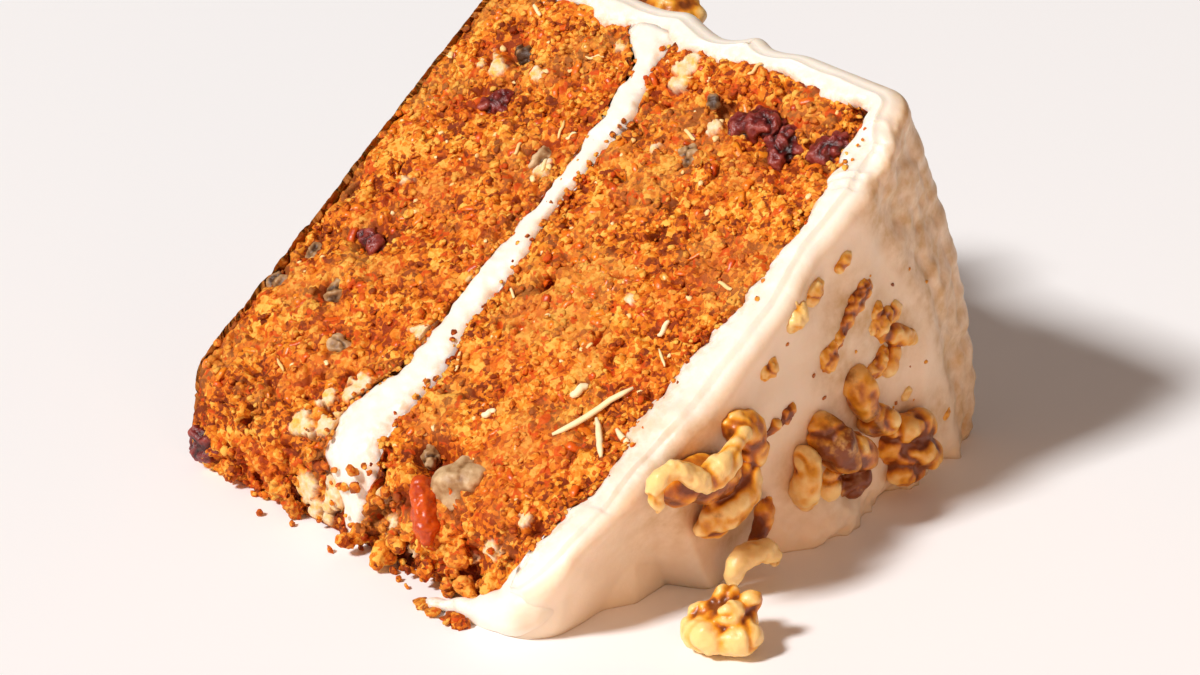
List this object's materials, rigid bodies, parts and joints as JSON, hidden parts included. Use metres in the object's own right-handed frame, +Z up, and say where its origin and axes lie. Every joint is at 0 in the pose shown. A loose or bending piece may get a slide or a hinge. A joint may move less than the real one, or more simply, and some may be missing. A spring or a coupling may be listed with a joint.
{
  "type": "carrot cake slice",
  "caption": "Wedge slice of two-layer carrot cake with a cream filling and a thick frosting coat set with walnut pieces, lying on one of its cut faces.",
  "frame": {"origin": "middle of the footprint's box, on the surface that the slice lies on", "axes": "+X from the cake's underside to its iced top, +Y from the narrow tip out to the rim, +Z up from the cut face that the slice lies on"},
  "size_m": [0.1052, 0.0998, 0.0644],
  "materials": {
    "carrot_cake": "open orange-brown crumb",
    "frosting": "soft spread cream",
    "walnut": "matt, wrinkled",
    "raisin": "dark, slightly moist",
    "carrot": "moist"
  },
  "bodies": {
    "root": {"cake_layer_lower": "carrot_cake", "filling": "frosting", "cake_layer_upper": "carrot_cake", "frosting": "frosting", "walnut_large": "walnut", "walnut_oval": "walnut", "walnut_brown": "walnut", "walnut_skinned": "walnut", "walnut_low": "walnut", "walnut_sunk": "walnut", "walnut_rim": "walnut", "walnut_curl": "walnut", "walnut_foot": "walnut", "walnut_in_crumb": "walnut", "raisin_1": "raisin", "raisin_2": "raisin", "raisin_3": "raisin", "raisin_4": "raisin", "raisin_5": "raisin", "raisin_6": "raisin", "carrot_chunk": "carrot"}
  },
  "joints": []
}
